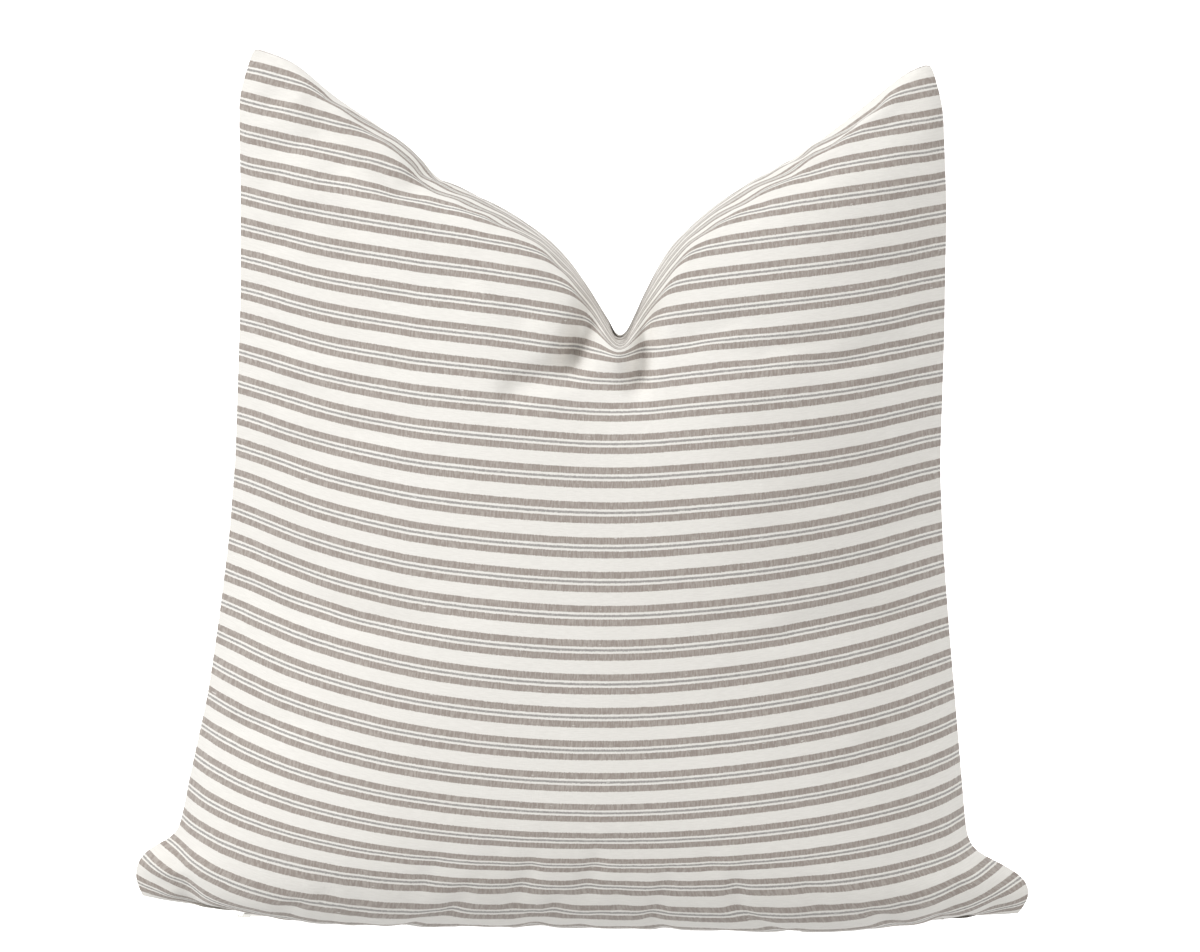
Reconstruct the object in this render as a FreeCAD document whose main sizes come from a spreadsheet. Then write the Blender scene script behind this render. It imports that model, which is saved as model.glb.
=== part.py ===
"""A square throw pillow: a zipped woven cover over a feather insert, standing on its bottom seam
with the top pressed into a valley.

Frame: +X to the right, +Y to the back, +Z up, in millimetres. The origin is on the floor, under
the middle of the pillow. The cover's two square panels meet in the plane y = 0. The zip runs along
X in the bottom seam, in a shallow groove between the front and the back lobe.
"""

import FreeCAD, Part
import math
import os

Vector = FreeCAD.Vector

doc = FreeCAD.newDocument("throw_pillow")

# ---------------------------------------------------------------- driving dimensions
SIZES = [
    ("width", 498.0, "ear tip to ear tip, along the bottom seam"),
    ("height", 478.0, "floor to the tips of the two top corners"),
    ("depth", 196.0, "front of the belly to its back"),
    ("valley_height", 318.0, "floor to the top seam at the bottom of the valley"),
    ("valley_shift", 14.0, "valley to the right of the middle"),
    ("seam_lift", 7.0, "floor to the bottom seam, in the groove"),
    ("ear_lift", 22.0, "floor to the tips of the two bottom corners"),
    ("cover_cloth", 0.8, "woven cover cloth"),
    ("thread", 0.5, "sewing thread"),
    ("casing_cloth", 0.5, "downproof casing cloth"),
    ("clearance", 0.25, "between layers of cloth, labels and filling"),
    ("insert_share", 0.905, "insert's width and height as a share of the cover's"),
    ("insert_depth_share", 0.978, "insert's depth as a share of the cover's"),
    ("drawn_level", 90.0, "floor to the level that inner layers are drawn in towards"),
    ("piping", 2.5, "piping round the insert's seam"),
    ("zip_length", 400.0, "opening in the bottom seam"),
    ("slot_width", 3.2, "gap between the two folded edges over the zip"),
    ("fold_width", 12.0, "allowance folded back along the zip"),
    ("fold_height", 6.2, "floor to the folded allowance"),
    ("tape_width", 12.0, "one zip tape"),
    ("tape_cloth", 0.5, "zip tape"),
    ("stitch_line", 8.5, "zip stitching to the middle of the zip"),
    ("coil_width", 2.0, "one zip coil, across"),
    ("coil_height", 1.8, "one zip coil, inwards"),
    ("coil_parting", 0.8, "gap between the two coils, which the slider's post runs in"),
    ("running", 0.3, "gap between the slider and the coils"),
    ("plate", 0.9, "slider's plates, and the stops"),
    ("slider_length", 9.0, "slider along the zip"),
    ("slider_start", -187.0, "middle of the slider when the zip is closed"),
    ("post_width", 0.5, "slider's post, between the coils"),
    ("post_length", 4.6, "slider's post, along the zip"),
    ("bridge_width", 1.2, "slider's bridge, across the zip"),
    ("bridge_length", 7.4, "slider's bridge, along the zip"),
    ("bridge_low", 1.1, "floor to the underside of the bridge"),
    ("bridge_high", 5.2, "floor to the top of the bridge"),
    ("bridge_bar", 0.8, "bars of the bridge"),
    ("pivot_height", 2.55, "floor to the pull's pivot"),
    ("pivot_bar", 1.0, "pull's cross bar"),
    ("pull_length", 24.0, "pivot to the end of the pull"),
    ("pull_width", 4.6, "pull, across"),
    ("pull_thick", 1.0, "pull's flat part"),
    ("pull_eye", 6.2, "length of the opening in the pull"),
    ("pull_eye_width", 2.2, "width of the opening in the pull"),
    ("pull_end", 3.2, "thickened end of the pull"),
    ("label_width", 30.0, "care labels, along the seam"),
    ("label_length", 42.0, "care labels, away from the seam"),
    ("label_cloth", 0.3, "care labels"),
]

sheet = doc.addObject("Spreadsheet::Sheet", "Sizes")
for row, (alias, value, note) in enumerate(SIZES, start=1):
    sheet.set(f"A{row}", alias)
    sheet.set(f"B{row}", str(value))
    sheet.set(f"C{row}", note)
    sheet.setAlias(f"B{row}", alias)
doc.recompute()


def size(alias):
    """A cell of the sheet as a number."""
    return float(sheet.get(alias))


# ---------------------------------------------------------------- the soft shape
# The middle column of a panel from the bottom seam to the top seam: share of the half depth, and
# height above the floor. The lowest rows dip under the floor and are cut off flat.
MIDDLE = [
    (0.00, size("seam_lift")),
    (0.13, -0.5),
    (0.40, -5),
    (0.68, -2),
    (0.89, 18),
    (0.98, 62),
    (1.00, 118),
    (0.99, 172),
    (0.95, 222),
    (0.87, 268),
    (0.74, 300),
    (0.42, size("valley_height") - 2),
    (0.00, size("valley_height")),
]
# The side seam, from a bottom corner to a top corner: distance from the middle, and height.
SIDE = [
    (size("width") / 2, size("ear_lift")),
    (246, 34),
    (238, 44),
    (230, 55),
    (221, 76),
    (213, 112),
    (206, 156),
    (201, 208),
    (198, 260),
    (196, 312),
    (195, 364),
    (192, 420),
    (180, size("height")),
]
ROWS = len(MIDDLE)
LAST = ROWS - 1
# How far across the panel each column lies, from the middle, 0, to the side seam, 1.
COLUMNS = [-1, -0.965, -0.9, -0.8, -0.6, -0.4, -0.2, -0.08]
COLUMNS += [0] + [-c for c in reversed(COLUMNS)]
VALLEY_ROUNDING = 0.07
HORN_THINNING = {LAST - 2: 0.12, LAST - 1: 0.35}
# How far the insert's lowest rows sag to the floor, past its even inset from the cover. The row
# beside the zip stays up, clear of the zip's tapes.
INSERT_SAG = {1: -1.8, 2: 6.5, 3: 6.4, 4: 2.0}
FRONT, BACK = -1, 1
SEAM_POINTS = 40


def ease(t):
    """0 to 1, with a level start and end."""
    t = min(1.0, max(0.0, t))
    return t * t * (3 - 2 * t)


def valley(u):
    """The valley's shape along the top seam: 0 at its bottom, and 1 at both top corners."""
    shift = size("valley_shift") / SIDE[LAST][0]
    span = 1 + shift if u < shift else 1 - shift
    t = (u - shift) / span
    low = VALLEY_ROUNDING
    return (math.hypot(t, low) - low) / (math.hypot(1, low) - low)


def panel_point(side, u, row):
    """A point on a panel's outer surface."""
    share, middle_z = MIDDLE[row]
    edge_x, edge_z = SIDE[row]
    flatness = 7 - 4.4 * ease(row / 7)
    depth = share * size("depth") / 2 * math.sqrt(max(0.0, 1 - abs(u) ** flatness))
    depth *= 1 - HORN_THINNING.get(row, 0) * valley(u)
    turned_up = 22 if row == 0 else 9 if row < 4 else 5 if row == 4 else 3
    chopped = max(0.0, (row - 5) / (LAST - 5)) ** 1.6
    rise = chopped * valley(u) + (1 - chopped) * abs(u) ** turned_up
    return Vector(edge_x * u, side * depth, middle_z + (edge_z - middle_z) * rise)


def panel_grid(side):
    return [[panel_point(side, u, row) for u in COLUMNS] for row in range(ROWS)]


def drawn_in(grid, share, depth_share):
    """A grid drawn in towards a level low in the middle, so that it stays inside itself."""
    level = size("drawn_level")
    return [
        [Vector(p.x * share, p.y * depth_share, level + (p.z - level) * share) for p in points]
        for points in grid
    ]


def cover_void(side):
    """The inner face of a cover panel: one cloth inside the outer face."""
    cloth = size("cover_cloth")
    share = 1 - cloth / SIDE[len(SIDE) // 2][0]
    return drawn_in(panel_grid(side), share, 1 - cloth / (size("depth") / 2))


def insert_grid(side, inset=0.0):
    """One half of the insert, well inside the cover's seams, and sagging to the floor."""
    share = size("insert_share") - inset / SIDE[len(SIDE) // 2][0]
    depth_share = size("insert_depth_share") - inset / (size("depth") / 2)
    grid = drawn_in(panel_grid(side), share, depth_share)
    return [
        [Vector(p.x, p.y, p.z - INSERT_SAG.get(row, 0)) for p in points]
        for row, points in enumerate(grid)
    ]


def crown_surface(grid):
    surface = Part.BSplineSurface()
    surface.interpolate(grid)
    return surface


def seam_loop(grid):
    """The four sides of a panel's seam, in order round it: bottom, right, top and left."""
    surface = crown_surface(grid)
    low_u, high_u, low_v, high_v = surface.bounds()
    steps = [i / SEAM_POINTS for i in range(SEAM_POINTS + 1)]
    rows = [low_u + (high_u - low_u) * t for t in steps]
    columns = [low_v + (high_v - low_v) * t for t in steps]
    return [
        [surface.value(low_u, v) for v in columns],
        [surface.value(u, high_v) for u in rows],
        [surface.value(high_u, v) for v in reversed(columns)],
        [surface.value(u, low_v) for u in reversed(rows)],
    ]


def inset_loop(loop, inset):
    """The loop's four sides moved inwards, without the points that a corner leaves no room for."""
    seam = Part.makePolygon([p for points in loop for p in points[:-1]] + [loop[0][0]])
    moved = []
    for points in loop:
        new = []
        for i, p in enumerate(points):
            along = points[min(i + 1, len(points) - 1)] - points[max(i - 1, 0)]
            q = p + Vector(-along.z, 0, along.x).normalize() * inset
            at_end = i in (0, len(points) - 1)
            if at_end or Part.Vertex(q).distToShape(seam)[0] > 0.98 * abs(inset):
                new.append(q)
        moved.append(new)
    corners = [
        meeting_point(points[-2], points[-1], follower[0], follower[1])
        for points, follower in zip(moved, moved[1:] + moved[:1])
    ]
    for i, corner in enumerate(corners):
        moved[i][-1] = corner
        moved[(i + 1) % 4][0] = corner
    return moved


def meeting_point(a, b, c, d):
    """Where the line from a to b meets the line from c to d, in the plane y = 0."""
    r, s = b - a, d - c
    t = ((c.x - a.x) * s.z - (c.z - a.z) * s.x) / (r.x * s.z - r.z * s.x)
    return a + r * t


def half_shape(grid):
    """A closed half pillow: the crowned panel, and the flat face that closes it at y = 0."""
    crown = crown_surface(grid).toShape()
    seam_face = Part.Face(Part.Wire(Part.__sortEdges__(crown.Edges)))
    solid = Part.Solid(Part.Shell([crown, seam_face]))
    if solid.Volume < 0:
        solid.reverse()
    return solid


def seam_solid(grid, inset, y_from, y_to):
    """The area inside a seam loop, drawn in by an inset, from y_from to y_to."""
    corners = [p for points in inset_loop(seam_loop(grid), inset) for p in points[:-1]]
    face = Part.Face(Part.makePolygon(corners + corners[:1]))
    face.translate(Vector(0, y_from, 0))
    return face.extrude(Vector(0, y_to - y_from, 0))


def ring_shape(grid, outer, inner, y_from, y_to):
    """A band that follows a seam loop between two distances inside it."""
    return seam_solid(grid, outer, y_from, y_to).cut(seam_solid(grid, inner, y_from, y_to))


def add_shape(name, shape):
    """A document object that holds a shape made by this file's own code."""
    item = doc.addObject("Part::Feature", name)
    item.Shape = shape
    return item


def add_box(name, x, y, z, centre_x=0, centre_y=0, bottom_z=0):
    """A box whose sizes are sheet expressions or numbers."""
    box = doc.addObject("Part::Box", name)
    for key, expression in (("Length", x), ("Width", y), ("Height", z)):
        box.setExpression(key, str(expression))
    box.setExpression("Placement.Base.x", f"({centre_x}) * 1 mm - Length / 2")
    box.setExpression("Placement.Base.y", f"({centre_y}) * 1 mm - Width / 2")
    box.setExpression("Placement.Base.z", f"({bottom_z}) * 1 mm")
    return box


def add_cut(name, base, tool):
    cut = doc.addObject("Part::Cut", name)
    cut.Base = base
    cut.Tool = tool
    cut.Label = name
    return cut


def add_fuse(name, base, tool):
    fuse = doc.addObject("Part::Fuse", name)
    fuse.Base = base
    fuse.Tool = tool
    fuse.Label = name
    return fuse


def floored(name, item, level):
    """The item with everything under a level above the floor cut off, which leaves it flat there."""
    below = add_box(f"{name}_below", "Sizes.width * 2", "Sizes.depth * 2", 40, 0, 0, f"{level} - 40")
    return add_cut(f"{name}_floored", item, below)


nodes = []


def add_node(item, label):
    """Marks a finished document object as one sub-part, named by its label."""
    item.Label = label
    nodes.append(item)
    return item


def beside(side, distance):
    """The y centre of a box on the front or the back of the zip."""
    return f"{side} * ({distance})"


# ---------------------------------------------------------------- cover: two panels and their seam
NAMES = {FRONT: "front", BACK: "back"}
cloth = size("cover_cloth")
ZIP_X = "Sizes.zip_length + 26"

slot = add_box("zip_slot", "Sizes.zip_length", "Sizes.slot_width", 16, 0, 0, -4)
forms = {side: add_shape(f"{name}_form", half_shape(panel_grid(side))) for side, name in NAMES.items()}
for side, name in NAMES.items():
    outer = floored(f"{name}_outer", forms[side], 0)
    void = add_shape(f"{name}_void", half_shape(cover_void(side)))
    inner = floored(f"{name}_inner", void, "Sizes.cover_cloth")
    opened = add_cut(f"{name}_opened", add_cut(f"{name}_shell", outer, inner), slot)
    fold = add_box(
        f"{name}_fold", "Sizes.zip_length + 26", "Sizes.fold_width", "Sizes.cover_cloth",
        0, beside(side, "Sizes.slot_width / 2 + Sizes.fold_width / 2"), "Sizes.fold_height",
    )
    add_node(add_fuse(f"{name}_sewn", opened, fold), f"{name}_panel")


# ---------------------------------------------------------------- zip: tapes, coils, stops, stitching
TAPE_Z = "Sizes.fold_height + Sizes.cover_cloth"
ON_TAPE = f"{TAPE_Z} + Sizes.tape_cloth"
for side, name in NAMES.items():
    tape = add_box(
        f"tape_{name}", "Sizes.zip_length - 1", "Sizes.tape_width", "Sizes.tape_cloth",
        0, beside(side, "Sizes.coil_parting / 2 + Sizes.tape_width / 2"), TAPE_Z,
    )
    add_node(tape, f"zip_tape_{name}")
    coil = add_box(
        f"coil_{name}", "Sizes.zip_length - 6", "Sizes.coil_width", "Sizes.coil_height",
        0, beside(side, "Sizes.coil_parting / 2 + Sizes.coil_width / 2"), ON_TAPE,
    )
    add_node(coil, f"zip_coil_{name}")
    row = add_box(
        f"stitching_{name}", "Sizes.zip_length + 10", "Sizes.thread", "Sizes.thread",
        0, beside(side, "Sizes.stitch_line"), ON_TAPE,
    )
    add_node(row, f"zip_stitching_{name}")

CHAIN = "Sizes.coil_parting + 2 * Sizes.coil_width"
STOP_TOP = "Sizes.coil_height + Sizes.plate / 2"


def clip(name, centre_x, centre_y, width):
    """A metal clip pressed over the end of the coils: a block with the coils' room taken out."""
    block = add_box(f"{name}_block", 2.4, width, STOP_TOP, centre_x, centre_y, ON_TAPE)
    room = add_box(f"{name}_room", 3, CHAIN, "Sizes.coil_height", centre_x, 0, ON_TAPE)
    return add_cut(name, block, room)


STOP_X = "(Sizes.zip_length / 2 - 6)"
end_clip = clip("end_clip", STOP_X, 0, f"{CHAIN} + 2 * Sizes.plate")
add_node(end_clip, "zip_bottom_stop")
side_room = "Sizes.coil_parting / 2 + (Sizes.coil_width + Sizes.plate) / 2"
start_clips = [
    clip(f"start_clip_{name}", f"-{STOP_X}", beside(side, side_room), "Sizes.coil_width + Sizes.plate")
    for side, name in NAMES.items()
]
add_node(add_fuse("start_clips", *start_clips), "zip_top_stops")

tacks = [
    add_box(
        f"tack_{name}", 2, 12, "Sizes.thread", f"{end} * (Sizes.zip_length / 2 + 2)", 0, ON_TAPE
    )
    for end, name in ((-1, "start"), (1, "end"))
]
add_node(add_fuse("tacks", *tacks), "bar_tacks")


# ---------------------------------------------------------------- zip slider and pull
SLIDER_X = "Sizes.slider_start"
ROOF_Z = f"{ON_TAPE} + Sizes.coil_height + Sizes.running"
SLIDER_WIDTH = f"{CHAIN} + 2 * Sizes.running + 2 * Sizes.plate"
roof = add_box("slider_roof", "Sizes.slider_length", SLIDER_WIDTH, "Sizes.plate", SLIDER_X, 0, ROOF_Z)
WALL_HEIGHT = "Sizes.coil_height"
slider = roof
for side, name in NAMES.items():
    wall_y = beside(side, f"({CHAIN}) / 2 + Sizes.running + Sizes.plate / 2")
    wall = add_box(
        f"slider_wall_{name}", "Sizes.slider_length", "Sizes.plate", WALL_HEIGHT,
        SLIDER_X, wall_y, f"{ON_TAPE} + Sizes.running",
    )
    slider = add_fuse(f"slider_with_{name}", slider, wall)
post = add_box(
    "slider_post", "Sizes.post_length", "Sizes.post_width",
    f"{ROOF_Z} + Sizes.plate / 2 - Sizes.bridge_high + Sizes.bridge_bar / 2",
    SLIDER_X, 0, "Sizes.bridge_high - Sizes.bridge_bar / 2",
)
bridge_block = add_box(
    "bridge_block", "Sizes.bridge_length", "Sizes.bridge_width",
    "Sizes.bridge_high - Sizes.bridge_low", SLIDER_X, 0, "Sizes.bridge_low",
)
bridge_room = add_box(
    "bridge_room", "Sizes.bridge_length - 2 * Sizes.bridge_bar", "Sizes.bridge_width * 2",
    "Sizes.bridge_high - Sizes.bridge_low - 2 * Sizes.bridge_bar",
    SLIDER_X, 0, "Sizes.bridge_low + Sizes.bridge_bar",
)
bridge = add_cut("bridge", bridge_block, bridge_room)
slider = add_fuse("slider_with_post", slider, post)
add_node(add_fuse("slider", slider, bridge), "zip_slider")

PULL_Z = "Sizes.pivot_height - Sizes.pull_thick / 2"
flat = add_box(
    "pull_flat", "Sizes.pull_length", "Sizes.pull_width", "Sizes.pull_thick",
    f"{SLIDER_X} + Sizes.pull_length / 2", 0, PULL_Z,
)
knob = add_box(
    "pull_knob", "Sizes.pull_length / 5", "Sizes.pull_width", "Sizes.pull_end",
    f"{SLIDER_X} + Sizes.pull_length * 0.9", 0, "Sizes.pivot_height - Sizes.pull_end / 2",
)
eye = add_box(
    "pull_eye_room", "Sizes.pull_eye", "Sizes.pull_eye_width", "Sizes.pull_thick * 3",
    f"{SLIDER_X} + Sizes.pivot_bar / 2 + Sizes.pull_eye / 2", 0, f"{PULL_Z} - 1",
)
pull = add_cut("pull_with_eye", add_fuse("pull_solid", flat, knob), eye)
bar = doc.addObject("Part::Cylinder", "pull_bar")
bar.setExpression("Radius", "Sizes.pivot_bar / 2")
bar.setExpression("Height", "Sizes.pull_width")
bar.Placement.Rotation = FreeCAD.Rotation(Vector(1, 0, 0), -90)
bar.setExpression("Placement.Base.x", f"{SLIDER_X} * 1 mm")
bar.setExpression("Placement.Base.y", "-Sizes.pull_width / 2 * 1 mm")
bar.setExpression("Placement.Base.z", "Sizes.pivot_height * 1 mm")
add_node(add_fuse("pull", pull, bar), "zip_pull")


# ---------------------------------------------------------------- insert: casing, fill, piping
casing = size("casing_cloth")
gap = size("clearance")
REST = "Sizes.cover_cloth"
REST_INSIDE = "Sizes.cover_cloth + Sizes.casing_cloth"
casing_forms = {}
fill_halves = {}
for side, name in NAMES.items():
    casing_forms[side] = add_shape(f"casing_{name}_form", half_shape(insert_grid(side)))
    outer = floored(f"casing_{name}_outer", casing_forms[side], REST)
    void = add_shape(f"casing_{name}_void", half_shape(insert_grid(side, casing)))
    inner = floored(f"casing_{name}_inner", void, REST_INSIDE)
    add_node(add_cut(f"casing_{name}_shell", outer, inner), f"casing_{name}")
    fill = add_shape(f"fill_{name}_form", half_shape(insert_grid(side, casing + gap)))
    fill_halves[side] = floored(f"fill_{name}", fill, REST_INSIDE)
add_node(add_fuse("fill", fill_halves[FRONT], fill_halves[BACK]), "feather_fill")

reach = size("piping")
cord = ring_shape(insert_grid(FRONT), -reach, -gap * 2, -reach / 2, reach / 2)
add_node(add_shape("cord", cord), "insert_piping")


# ---------------------------------------------------------------- care labels
def label_on(name, outer, inner, x, z):
    """A label that lies in the layer between two closed forms, with its end in the side seam."""
    window = add_box(f"{name}_window", "Sizes.label_length", 90, "Sizes.label_width", x, -50, z)
    block = doc.addObject("Part::Common", f"{name}_block")
    block.Base = outer
    block.Tool = window
    return add_cut(name, block, inner)


label = size("label_cloth")
for name, label_grid, x in (
    ("care", lambda t: drawn_in(cover_void(FRONT), 1 - t / 200, 1 - t / 90), "213 - Sizes.label_length / 2"),
    ("insert", lambda t: insert_grid(FRONT, t - label - 2 * gap), "Sizes.label_length / 2 - 194"),
):
    outer = add_shape(f"{name}_outer", half_shape(label_grid(gap)))
    inner = add_shape(f"{name}_inner", half_shape(label_grid(gap + label)))
    add_node(label_on(f"{name}_patch", outer, inner, x, 90), f"{name}_label")


# ---------------------------------------------------------------- check and write
doc.recompute()
for item in doc.Objects:
    if "Invalid" in item.State or "Error" in item.State:
        raise RuntimeError(f"{item.Label} failed: {item.State}")

os.makedirs("parts", exist_ok=True)
for item in nodes:
    shape = item.Shape
    if shape.isNull() or not shape.isValid() or not shape.Solids:
        raise RuntimeError(f"{item.Label} has no valid solid")
    shape.exportStep(f"parts/{item.Label}.step")
    box = shape.BoundBox
    print(f"{item.Label:22s} solids {len(shape.Solids)}  volume {shape.Volume / 1000:10.3f} cm3"
          f"  x {box.XMin:7.1f} {box.XMax:7.1f}  y {box.YMin:6.1f} {box.YMax:6.1f}"
          f"  z {box.ZMin:6.1f} {box.ZMax:6.1f}")
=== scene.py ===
import math

import bpy
import numpy as np
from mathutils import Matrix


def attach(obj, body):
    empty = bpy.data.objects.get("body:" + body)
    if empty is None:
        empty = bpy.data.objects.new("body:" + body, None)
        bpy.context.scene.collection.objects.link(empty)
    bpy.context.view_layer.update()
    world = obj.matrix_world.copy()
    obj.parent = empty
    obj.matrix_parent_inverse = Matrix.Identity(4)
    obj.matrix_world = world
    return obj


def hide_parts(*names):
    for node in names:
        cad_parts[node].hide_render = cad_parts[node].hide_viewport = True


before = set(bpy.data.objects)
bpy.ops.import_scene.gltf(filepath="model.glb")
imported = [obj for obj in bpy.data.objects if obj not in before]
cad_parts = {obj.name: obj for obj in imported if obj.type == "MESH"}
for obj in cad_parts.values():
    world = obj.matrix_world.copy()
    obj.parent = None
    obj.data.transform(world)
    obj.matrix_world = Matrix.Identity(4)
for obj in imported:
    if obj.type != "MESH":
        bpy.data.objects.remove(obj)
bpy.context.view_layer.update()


# Camera and light: a long lens a little above the pillow's middle, turned a fraction, a big soft
# light from the left and the front, a weaker one from the right, and a white room.
bpy.ops.object.select_all(action="DESELECT")
target = np.array([0.0066, 0.0, 0.2486])
away, rise, turn = 3.3, math.radians(4.5), math.radians(0.8)
place = target + away * np.array([0.0, -math.cos(rise), math.sin(rise)])
bpy.ops.object.camera_add(location=place, rotation=(math.pi / 2 - rise, 0, 0))
camera = bpy.context.object
camera.rotation_euler.rotate_axis("Z", turn)
camera.data.lens = 36 * away / 0.66
bpy.context.scene.camera = camera

for name, where, power, wide in (
    ("left_softbox", (-2.1, -1.4, 1.0), 34, 1.6),
    ("right_softbox", (2.0, -1.8, 1.0), 14, 1.8),
    ("top_softbox", (0.0, 0.2, 2.4), 16, 2.0),
):
    bpy.ops.object.light_add(type="AREA", location=where)
    lamp = bpy.context.object
    lamp.name = name
    lamp.data.energy, lamp.data.shape, lamp.data.size = power, "DISK", wide
    aim = target - np.array(where)
    lamp.rotation_euler = (
        math.acos(-aim[2] / np.linalg.norm(aim)), 0, math.atan2(aim[1], aim[0]) - math.pi / 2
    )

world = bpy.data.worlds.new("white_room")
bpy.context.scene.world = world
world.use_nodes = True
world.node_tree.nodes["Background"].inputs["Color"].default_value = (1, 1, 1, 1)
world.node_tree.nodes["Background"].inputs["Strength"].default_value = 0.66


bpy.context.scene.view_settings.view_transform = "Standard"


# Floor: a pale sheet that the pillow stands on.
class Socket:
    """One output of a material's nodes; arithmetic on it adds Math nodes."""

    def __init__(self, tree, link):
        self.tree, self.link = tree, link

    def node(self, kind, out=0, set=(), **values):
        made = self.tree.nodes.new(kind)
        for key, value in dict(set).items():
            setattr(made, key, value)
        for key, value in values.items():
            socket = made.inputs[int(key[1:])] if key[1:].isdigit() else made.inputs[key.replace("_", " ")]
            if isinstance(value, Socket):
                self.tree.links.new(value.link, socket)
            else:
                socket.default_value = value
        return Socket(self.tree, made.outputs[out])

    def math(self, operation, a, b=0.0, c=0.0):
        return self.node("ShaderNodeMath", set={"operation": operation}, i0=a, i1=b, i2=c)

    def __add__(self, other): return self.math("ADD", self, other)
    def __radd__(self, other): return self.math("ADD", other, self)
    def __sub__(self, other): return self.math("SUBTRACT", self, other)
    def __rsub__(self, other): return self.math("SUBTRACT", other, self)
    def __mul__(self, other): return self.math("MULTIPLY", self, other)
    def __rmul__(self, other): return self.math("MULTIPLY", other, self)
    def fract(self): return self.math("FRACT", self)
    def absolute(self): return self.math("ABSOLUTE", self)

    def step(self, low, high):
        """0 below low and 1 above high, with a soft edge between."""
        return self.node(
            "ShaderNodeMapRange", set={"interpolation_type": "SMOOTHSTEP"},
            Value=self, From_Min=low, From_Max=high, To_Min=0.0, To_Max=1.0,
        )

    def mix(self, colour_a, colour_b):
        """Colour a where this is 0, and colour b where it is 1."""
        return self.node("ShaderNodeMix", out=2, set={"data_type": "RGBA"}, i0=self, i6=colour_a, i7=colour_b)


def new_material(name, **values):
    """A material with its shader, and the two coordinates that the patterns use."""
    made = bpy.data.materials.new(name)
    made.use_nodes = True
    tree = made.node_tree
    shader = tree.nodes["Principled BSDF"]
    for key, value in values.items():
        shader.inputs[key.replace("_", " ")].default_value = value
    place = tree.nodes.new("ShaderNodeTexCoord")
    return made, shader, Socket(tree, place.outputs["Object"]), Socket(tree, place.outputs["UV"])


def feed(shader, name, value):
    value.tree.links.new(value.link, shader.inputs[name])


def give(obj, material):
    obj.data.materials.clear()
    obj.data.materials.append(material)


bend = [(-9.0, 0.0), (3.0, 0.0)]
bend += [(3.0 + 2 * math.sin(a), 2 - 2 * math.cos(a)) for a in np.linspace(0.1, math.pi / 2, 16)]
bend += [(5.0, 9.0)]
mesh = bpy.data.meshes.new("floor")
mesh.from_pydata(
    [(x, y, z - 0.0002) for x in (-12, 12) for y, z in bend], [],
    [(i, i + len(bend), i + len(bend) + 1, i + 1) for i in range(len(bend) - 1)],
)
floor = bpy.data.objects.new("floor", mesh)
bpy.context.collection.objects.link(floor)
mesh.polygons.foreach_set("use_smooth", [True] * len(mesh.polygons))
floor_white, floor_shader, spot, _ = new_material("floor_white", Roughness=0.7, Base_Color=(0.95, 0.95, 0.95, 1))
floor_shader.inputs["Emission Color"].default_value = (1, 1, 1, 1)
floor_shader.inputs["Emission Strength"].default_value = 1.0
give(floor, floor_white)
floor.visible_diffuse = False


# Cover, flat: two square panels of ticking, sewn together all round their edges. Each is a grid,
# and both share the row of points along the seam. The coordinates that the cloth was cut in are
# kept, because its stripes follow them.
CELLS = 84
FLAT = 0.508
LEFT_SIDE = [
    (-0.186, 0.481), (-0.194, 0.455), (-0.1925, 0.400), (-0.192, 0.345), (-0.193, 0.301),
    (-0.194, 0.257), (-0.197, 0.213), (-0.202, 0.169), (-0.208, 0.125), (-0.217, 0.082),
    (-0.2215, 0.058), (-0.2235, 0.046), (-0.237, 0.041), (-0.2465, 0.033), (-0.2485, 0.022), (-0.243, 0.012),
]
RIGHT_SIDE = [
    (0.1845, 0.4775), (0.1915, 0.455), (0.1945, 0.400), (0.1945, 0.323), (0.1935, 0.257),
    (0.196, 0.213), (0.200, 0.169), (0.2045, 0.125), (0.209, 0.081), (0.2115, 0.056),
    (0.2135, 0.045), (0.226, 0.0395), (0.239, 0.033), (0.2485, 0.026), (0.2475, 0.015), (0.241, 0.009),
]
TOP = [
    (-0.186, 0.481), (-0.164, 0.474), (-0.142, 0.455), (-0.120, 0.441), (-0.098, 0.426),
    (-0.086, 0.411), (-0.065, 0.401), (-0.043, 0.390), (-0.021, 0.376), (-0.006, 0.358),
    (0.006, 0.335), (0.016, 0.316), (0.025, 0.330), (0.034, 0.356), (0.045, 0.377),
    (0.067, 0.396), (0.089, 0.411), (0.111, 0.425), (0.133, 0.441), (0.155, 0.459),
    (0.174, 0.475), (0.1845, 0.4775),
]
BOTTOM = [(-0.243, 0.012), (-0.228, 0.009), (-0.212, 0.0075), (0.0, 0.0072), (0.212, 0.0075), (0.228, 0.008), (0.241, 0.009)]


def along(points, count, ease=2):
    """Points an even distance apart along a line, with its corners eased."""
    points = np.array(points)
    steps = np.r_[0, np.cumsum(np.linalg.norm(np.diff(points, axis=0), axis=1))]
    even = np.linspace(0, steps[-1], count)
    line = np.c_[np.interp(even, steps, points[:, 0]), np.interp(even, steps, points[:, 1])]
    for _ in range(ease):
        line[1:-1] = line[1:-1] / 2 + (line[:-2] + line[2:]) / 4
    return line


count = CELLS + 1
left, right = along(LEFT_SIDE, count)[::-1], along(RIGHT_SIDE, count)[::-1]
top, bottom = along(TOP, count), along(BOTTOM, count)
s = np.linspace(0, 1, count)
S, T = np.meshgrid(s, s)
sheet_xz = (
    (1 - S)[..., None] * left[:, None] + S[..., None] * right[:, None]
    + (1 - T)[..., None] * bottom[None] + T[..., None] * top[None]
    - (1 - S)[..., None] * (1 - T)[..., None] * bottom[0] - S[..., None] * (1 - T)[..., None] * bottom[-1]
    - (1 - S)[..., None] * T[..., None] * top[0] - S[..., None] * T[..., None] * top[-1]
)
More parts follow.
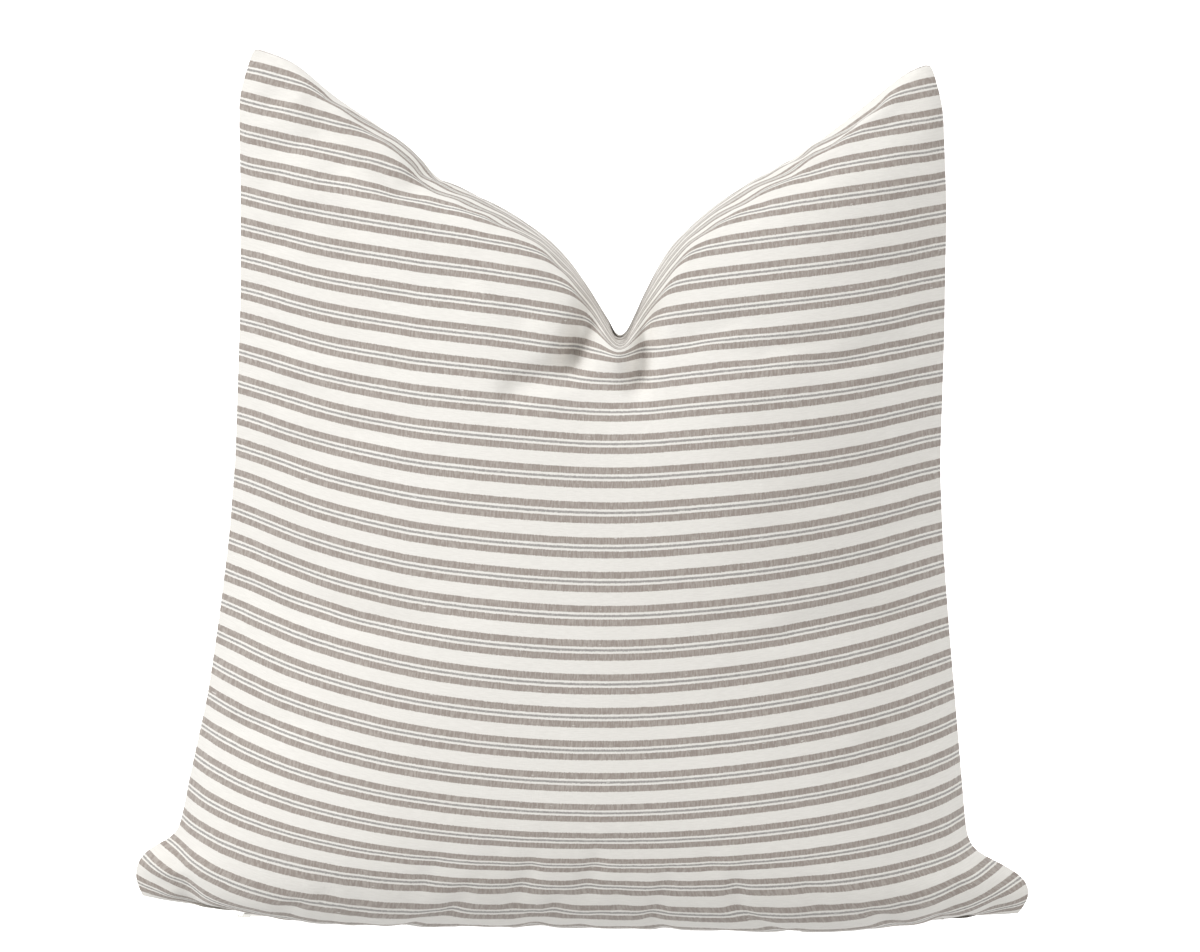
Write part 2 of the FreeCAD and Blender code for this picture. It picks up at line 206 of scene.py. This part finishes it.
# The middle of a panel before filling: share of the cloth, distance out, height. The bottom rests on
# the floor, the front stands, and what is left over is patted down into the valley.
MIDDLE = np.array([
    (0, 0, 7), (0.02, 13, 2), (0.045, 39, 0.6), (0.07, 64, 1), (0.095, 80, 14), (0.125, 86, 32),
    (0.161, 89, 45), (0.232, 91, 76), (0.304, 92, 110), (0.375, 92, 145), (0.446, 90, 181),
    (0.518, 87, 217), (0.589, 81, 254), (0.661, 72, 290), (0.70, 66, 309), (0.85, 46, 382),
    (1.0, 22, 457),
])
depth, height = np.interp(s, MIDDLE[:, 0], MIDDLE[:, 1]), np.interp(s, MIDDLE[:, 0], MIDDLE[:, 2])
depth, height = depth[:, None] / 1000, height[:, None] / 1000
edge = np.abs(2 * S - 1)
low = np.clip(T / 0.45, 0, 1) ** 2 * (3 - 2 * np.clip(T / 0.45, 0, 1))
side_z = (1 - S) * left[:, None, 1] + S * right[:, None, 1]
front_z = height + (side_z - height) * edge ** (2 + 4 * np.clip(1 - T / 0.125, 0, 1))
crown = depth * (1 - edge ** (7 - 4.4 * low)) ** 0.65
for k in range(1, CELLS):
    ridge = np.interp(top[k, 1], front_z[:, k], s)
    over = np.clip((s - ridge) / max(1 - ridge, 1e-3), 0, 1)
    turned = s > ridge
    crown[turned, k] = np.interp(ridge, s, crown[:, k]) * (1 - over[turned]) ** 0.8
    near_valley = math.exp(-(((s[k] - 0.5325) / 0.1) ** 2))
    front_z[turned, k] = top[k, 1] + 0.004 * near_valley * np.sin(math.pi * over[turned])
    sheet_xz[1:, k, 1] = front_z[1:, k]
for _ in range(3):
    for grid in (crown, sheet_xz[..., 1]):
        grid[1:-1, 1:-1] = grid[1:-1, 1:-1] / 2 + (
            grid[:-2, 1:-1] + grid[2:, 1:-1] + grid[1:-1, :-2] + grid[1:-1, 2:]
        ) / 8

seam = np.zeros((count, count), bool)
seam[0], seam[-1], seam[:, 0], seam[:, -1] = True, True, True, True
index = {-1: np.arange(count * count).reshape(count, count)}
index[1] = np.where(seam, index[-1], -1)
index[1][~seam] = count * count + np.arange((~seam).sum())
start = np.zeros((count * count + (~seam).sum(), 3))
for side in (-1, 1):
    start[index[side]] = np.stack([sheet_xz[..., 0], side * crown, sheet_xz[..., 1]], axis=-1)
start[:, 2] = np.maximum(start[:, 2], 0.0022)


def faces_of(side):
    i = index[side]
    a, b, c, d = i[:-1, :-1], i[:-1, 1:], i[1:, 1:], i[1:, :-1]
    quads = np.stack([a, b, c, d] if side < 0 else [a, d, c, b], axis=-1)
    return quads.reshape(-1, 4)


# Cover, filled: the feathers push both panels out between the pinned seams, and the floor presses
# the two lobes flat on either side of the zip.
def filled_cover(pressure, slack, frames):
    mesh = bpy.data.meshes.new("envelope")
    mesh.from_pydata(start.tolist(), [], faces_of(-1).tolist() + faces_of(1).tolist())
    envelope = bpy.data.objects.new("envelope", mesh)
    bpy.context.collection.objects.link(envelope)
    bpy.context.view_layer.objects.active = envelope
    pins = envelope.vertex_groups.new(name="seam")
    pins.add(np.unique(index[-1][seam]).tolist(), 1.0, "REPLACE")

    colliders = []
    bpy.ops.mesh.primitive_cube_add(size=1, location=(0, 0, -0.05), scale=(1.2, 0.8, 0.1))
    colliders.append(bpy.context.object)
    bpy.ops.mesh.primitive_cube_add(size=1, location=(0, 0, 0.0), scale=(0.43, 0.006, 0.0105))
    colliders.append(bpy.context.object)
    for collider in colliders:
        collider.modifiers.new("stop", "COLLISION")
        collider.collision.thickness_outer = 0.001
        collider.collision.cloth_friction = 20

    cloth = envelope.modifiers.new("cloth", "CLOTH")
    c = cloth.settings
    c.quality = 6
    c.mass = 0.02
    c.tension_stiffness = 15
    c.compression_stiffness = c.shear_stiffness = 5
    c.bending_stiffness = 0.3
    c.tension_damping = c.compression_damping = c.shear_damping = 2
    c.bending_damping = 0.5
    c.air_damping = 1
    c.shrink_min = -slack
    c.vertex_group_mass = "seam"
    c.use_pressure = True
    c.uniform_pressure_force = pressure
    c.effector_weights.gravity = 0
    cloth.collision_settings.distance_min = 0.001
    cloth.collision_settings.collision_quality = 3
    cloth.point_cache.frame_end = frames
    for f in range(1, frames + 1):
        bpy.context.scene.frame_set(f)
    seen = envelope.evaluated_get(bpy.context.evaluated_depsgraph_get())
    points = np.empty(len(start) * 3)
    seen.data.vertices.foreach_get("co", points)
    bpy.context.scene.frame_set(1)
    for made in (*colliders, envelope):
        bpy.data.objects.remove(made)
    return points.reshape(-1, 3)


filled = filled_cover(pressure=15, slack=0.02, frames=34)
filled[:, 1] *= min(1, 0.103 / np.abs(filled[:, 1]).max())
filled[:, 2] = np.maximum(filled[:, 2], 0.0004)

# Creases: start, end, depth and width of each, in mm. The first four are pressed in round the foot
# of the valley, the next three run down the left horn, and the last four fold the bottom corners.
CREASES = (
    (-11, 314, 4, 348, 18, 6), (26, 304, 31, 340, 14, 5), (-9, 316, -42, 299, 8, 5.5),
    (14, 318, 14, 332, -9, 8), (-96, 410, -36, 340, 4.5, 8), (-128, 432, -70, 356, 3.5, 9),
    (-152, 452, -130, 388, 3, 8), (-226, 46, -214, 11, 12, 5), (-246, 24, -222, 22, 4, 4),
    (207, 30, 194, 9, 9, 4.5), (242, 30, 216, 20, 6, 4),
)


def creased(cloth):
    """The front of some cloth with the creases pressed into it."""
    cloth = cloth.copy()
    for x0, z0, x1, z1, deep, wide in CREASES:
        run = np.array([x1 - x0, z1 - z0]) / 1000
        off = cloth[:, [0, 2]] - np.array([x0, z0]) / 1000
        share = np.clip(off @ run / (run @ run), 0, 1)
        away = np.linalg.norm(off - share[:, None] * run, axis=1)
        pressed = deep / 1000 * np.exp(-((away / (wide / 1000)) ** 2)) * (cloth[:, 1] < 0.02)
        thick = np.abs(cloth[:, 1])
        cloth[:, 1] = np.sign(cloth[:, 1]) * np.maximum(thick - pressed, 0.3 * thick)
    return cloth


points = creased(filled)


def panel_object(name, points, side, rows=None, columns=None, fold=None):
    """Part of one side of an envelope, with the cloth's own coordinates as its UVs."""
    rows, columns = rows or (0, CELLS), columns or (0, CELLS)
    window = (slice(rows[0], rows[1] + 1), slice(columns[0], columns[1] + 1))
    verts, st = points[index[side][window]].copy(), np.stack([S[window], T[window]], axis=-1)
    if fold is not None:
        inner = verts[0].copy()
        opened = np.abs(inner[:, 0]) < 0.2
        verts[0, opened] = np.c_[inner[opened, 0], np.full((opened.sum(), 1), side * 0.0016), np.full((opened.sum(), 1), 0.0063)]
        inner[:, 1] = side * np.where(np.abs(inner[:, 0]) < 0.213, fold, 0.0002)
        inner[:, 2] += 0.0003
        inner[opened, 2] = 0.0066
        verts, st = np.concatenate([inner[None], verts]), np.concatenate([st[:1], st])
    high, wide = verts.shape[:2]
    i = np.arange(high * wide).reshape(high, wide)
    corners = [i[:-1, :-1], i[:-1, 1:], i[1:, 1:], i[1:, :-1]]
    quads = np.stack(corners if side < 0 else corners[::-1], axis=-1).reshape(-1, 4)
    mesh = bpy.data.meshes.new(name)
    mesh.from_pydata(verts.reshape(-1, 3).tolist(), [], quads.tolist())
    cloth, st = mesh.uv_layers.new(name="cloth"), st.reshape(-1, 2)
    for loop in mesh.loops:
        cloth.data[loop.index].uv = st[loop.vertex_index]
    obj = bpy.data.objects.new(name, mesh)
    bpy.context.collection.objects.link(obj)
    mesh.polygons.foreach_set("use_smooth", [True] * len(mesh.polygons))
    return obj


# Ticking: yarn-dyed cotton in grey-brown and off-white, with the stripes across the cloth. Each
# group is a dark band, a thin light line, a thin grey line, a thin light line and a dark band.
REPEAT = 0.018
ticking, shader, spot, cut = new_material("ticking", Roughness=0.92)
shader.inputs["Sheen Weight"].default_value = 0.12
shader.inputs["Sheen Roughness"].default_value = 0.5
shader.inputs["Specular IOR Level"].default_value = 0.25
part = cut.node("ShaderNodeSeparateXYZ", Vector=cut)
across, up = Socket(part.tree, part.link.node.outputs[0]), Socket(part.tree, part.link.node.outputs[1])


def speckle(x_scale, y_scale, detail=2.0, rough=0.6):
    """Noise in the cloth's own coordinates, with its grains longer one way."""
    stretched = cut.node(
        "ShaderNodeMapping", Vector=cut, Scale=(x_scale, y_scale, 1.0),
    )
    return cut.node(
        "ShaderNodeTexNoise", Vector=stretched, Scale=1.0, Detail=detail, Roughness=rough,
    )


wander = (speckle(60, 18, 1.0) - 0.5) * 0.02
fine_wander = (speckle(700, 240, 1.0) - 0.5) * 0.045
place_in_group = ((up * (FLAT / REPEAT) + wander + fine_wander).fract() - 0.5).absolute()
dark = place_in_group.step(0.094, 0.108) * (1 - place_in_group.step(0.293, 0.309))
line = 1 - place_in_group.step(0.026, 0.042)
warp_hatch = speckle(420, 90, 2.0, 0.7).step(0.38, 0.66)
weft_hatch = speckle(70, 900, 2.0, 0.7).step(0.35, 0.68)
slub = speckle(95, 480, 1.0, 0.4).step(0.74, 0.80)
tone = speckle(5, 4, 2.0)

cloth_light = tone.mix((0.80, 0.775, 0.73, 1), (0.87, 0.85, 0.805, 1))
cloth_light = (weft_hatch * 0.35).mix(cloth_light, (0.70, 0.675, 0.63, 1))
band = (warp_hatch * 0.55).mix((0.335, 0.290, 0.258, 1), (0.58, 0.535, 0.49, 1))
band = (weft_hatch * 0.30).mix(band, (0.29, 0.255, 0.232, 1))
thin = (warp_hatch * 0.4).mix((0.25, 0.235, 0.225, 1), (0.52, 0.50, 0.47, 1))
colour = dark.mix(cloth_light, band)
colour = (line * 0.85).mix(colour, thin)
colour = (slub * 0.6).mix(colour, (0.90, 0.885, 0.85, 1))
feed(shader, "Base Color", colour)
height = warp_hatch * 0.5 + weft_hatch * 0.5 + slub * 0.6
feed(shader, "Normal", height.node("ShaderNodeBump", Strength=0.35, Distance=0.0004, Height=height))

for side, name in ((-1, "cover_front"), (1, "cover_back")):
    panel = panel_object(name, points, side, fold=0.0125)
    smooth = panel.modifiers.new("rounding", "SUBSURF")
    smooth.levels = smooth.render_levels = 1
    give(panel, ticking)
    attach(panel, "cover")
    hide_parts(name.replace("cover_", "") + "_panel")


# Insert: a casing of downproof calico filled with feathers and down, smaller than the cover, so
# that it lies just inside it and rests on the floor through it. Its seam is piped with the same
# calico. It is drawn in from the filled cover.
def drawn_in(share, depth, sag):
    inner = creased(filled * (share, depth, share) + (0, 0, 0.09 * (1 - share)))
    resting = np.clip(np.abs(inner[:, 1]) / 0.035, 0, 1) * np.clip(1 - inner[:, 2] / 0.05, 0, 1)
    inner[:, 2] = np.maximum(inner[:, 2] - sag * resting, 0.0013)
    return inner


calico, shader, spot, _ = new_material("calico", Roughness=0.9)
weave = spot.node("ShaderNodeTexNoise", Vector=spot, Scale=900.0, Detail=2.0)
feed(shader, "Base Color", weave.mix((0.78, 0.77, 0.74, 1), (0.88, 0.87, 0.85, 1)))
feed(shader, "Normal", weave.node("ShaderNodeBump", Strength=0.3, Distance=0.0003, Height=weave))
down, shader, spot, _ = new_material("feathers", Roughness=1.0)
fluff = spot.node("ShaderNodeTexNoise", Vector=spot, Scale=70.0, Detail=6.0, Roughness=0.7)
feed(shader, "Base Color", fluff.mix((0.70, 0.68, 0.63, 1), (0.90, 0.89, 0.86, 1)))
feed(shader, "Normal", fluff.node("ShaderNodeBump", Strength=0.8, Distance=0.003, Height=fluff))

for side, name in ((-1, "casing_front"), (1, "casing_back")):
    half = panel_object("insert_" + name, drawn_in(0.905, 0.955, 0.0075), side)
    give(half, calico)
    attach(half, "cover")
    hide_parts(name)

halves = [panel_object("insert_filling", drawn_in(0.895, 0.945, 0.007), side) for side in (-1, 1)]
bpy.ops.object.select_all(action="DESELECT")
for half in halves:
    half.select_set(True)
bpy.context.view_layer.objects.active = halves[0]
bpy.ops.object.join()
filling = halves[0]
bpy.ops.object.mode_set(mode="EDIT")
bpy.ops.mesh.select_all(action="SELECT")
bpy.ops.mesh.remove_doubles(threshold=0.0002)
bpy.ops.object.mode_set(mode="OBJECT")
give(filling, down)
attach(filling, "cover")
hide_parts("feather_fill")

i = index[-1]
loop = drawn_in(0.905, 0.955, 0)[np.r_[i[0], i[1:, -1], i[-1, -2::-1], i[-2:0:-1, 0]]]
out = np.roll(loop, -1, axis=0) - np.roll(loop, 1, axis=0)
out = np.c_[out[:, 2], np.zeros(len(out)), -out[:, 0]] / np.linalg.norm(out, axis=1)[:, None]
rounds = [(math.cos(a), math.sin(a)) for a in np.linspace(0, 2 * math.pi, 8, endpoint=False)]
ring = np.stack([loop + out * (0.0013 + 0.0012 * c) + np.array([0, 0.0012 * d, 0]) for c, d in rounds])
n = len(loop)
mesh = bpy.data.meshes.new("insert_cord")
mesh.from_pydata(
    ring.reshape(-1, 3).tolist(), [],
    [(r * n + k, r * n + (k + 1) % n, (r + 1) % 8 * n + (k + 1) % n, (r + 1) % 8 * n + k)
     for r in range(8) for k in range(n)],
)
cord = bpy.data.objects.new("insert_cord", mesh)
bpy.context.collection.objects.link(cord)
bpy.ops.object.select_all(action="DESELECT")
bpy.context.view_layer.objects.active = cord
cord.select_set(True)
bpy.ops.object.mode_set(mode="EDIT")
bpy.ops.mesh.select_all(action="SELECT")
bpy.ops.mesh.normals_make_consistent(inside=False)
bpy.ops.object.mode_set(mode="OBJECT")
bpy.ops.object.shade_smooth()
give(cord, calico)
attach(cord, "cover")
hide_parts("insert_piping")


# Care labels: plain satin tape, one sewn in the cover's side seam and one on the insert.
satin, shader, spot, _ = new_material("satin_tape", Roughness=0.45)
rib = spot.node("ShaderNodeTexNoise", Vector=spot, Scale=600.0, Detail=1.0)
feed(shader, "Base Color", rib.mix((0.86, 0.86, 0.85, 1), (0.93, 0.93, 0.92, 1)))
for name, share, depth, columns in (
    ("care_label", 0.993, 0.988, (CELLS - 8, CELLS - 1)), ("insert_label", 0.925, 0.966, (1, 8)),
):
    label = panel_object("sewn_" + name, drawn_in(share, depth, 0), -1, rows=(24, 29), columns=columns)
    skin = label.modifiers.new("tape", "SOLIDIFY")
    skin.thickness, skin.offset = 0.0003, -1
    give(label, satin)
    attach(label, "cover")
    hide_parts(name)


# Zip: woven tapes, nylon coils, nickel slider, pull and stops, and cotton thread. The part's own
# pieces carry over, each with its own finish.
tape, shader, spot, _ = new_material("woven_tape", Roughness=0.9)
rib = spot.node("ShaderNodeTexWave", Vector=spot, Scale=400.0, Distortion=1.0)
feed(shader, "Base Color", rib.mix((0.72, 0.69, 0.63, 1), (0.84, 0.81, 0.76, 1)))
feed(shader, "Normal", rib.node("ShaderNodeBump", Strength=0.4, Distance=0.0002, Height=rib))
nylon, shader, spot, _ = new_material("nylon_coil", Roughness=0.4)
turns = spot.node("ShaderNodeTexWave", set={"bands_direction": "X"}, Vector=spot, Scale=225.0)
feed(shader, "Base Color", turns.mix((0.62, 0.60, 0.55, 1), (0.84, 0.82, 0.77, 1)))
feed(shader, "Normal", turns.node("ShaderNodeBump", Strength=0.9, Distance=0.0006, Height=turns))
nickel, shader, spot, _ = new_material("satin_nickel", Metallic=1.0, Base_Color=(0.66, 0.65, 0.62, 1))
scuff = spot.node("ShaderNodeTexNoise", Vector=spot, Scale=1800.0, Detail=3.0)
feed(shader, "Roughness", scuff * 0.2 + 0.25)
thread, shader, spot, _ = new_material("cotton_thread", Roughness=0.85)
twist = spot.node("ShaderNodeTexWave", set={"bands_direction": "DIAGONAL"}, Vector=spot, Scale=600.0)
feed(shader, "Base Color", twist.mix((0.66, 0.62, 0.56, 1), (0.82, 0.79, 0.73, 1)))
for material, nodes in (
    (tape, ("zip_tape_front", "zip_tape_back")),
    (nylon, ("zip_coil_front", "zip_coil_back")),
    (nickel, ("zip_slider", "zip_pull", "zip_bottom_stop", "zip_top_stops")),
    (thread, ("zip_stitching_front", "zip_stitching_back", "bar_tacks")),
):
    for node in nodes:
        give(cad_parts[node], material)
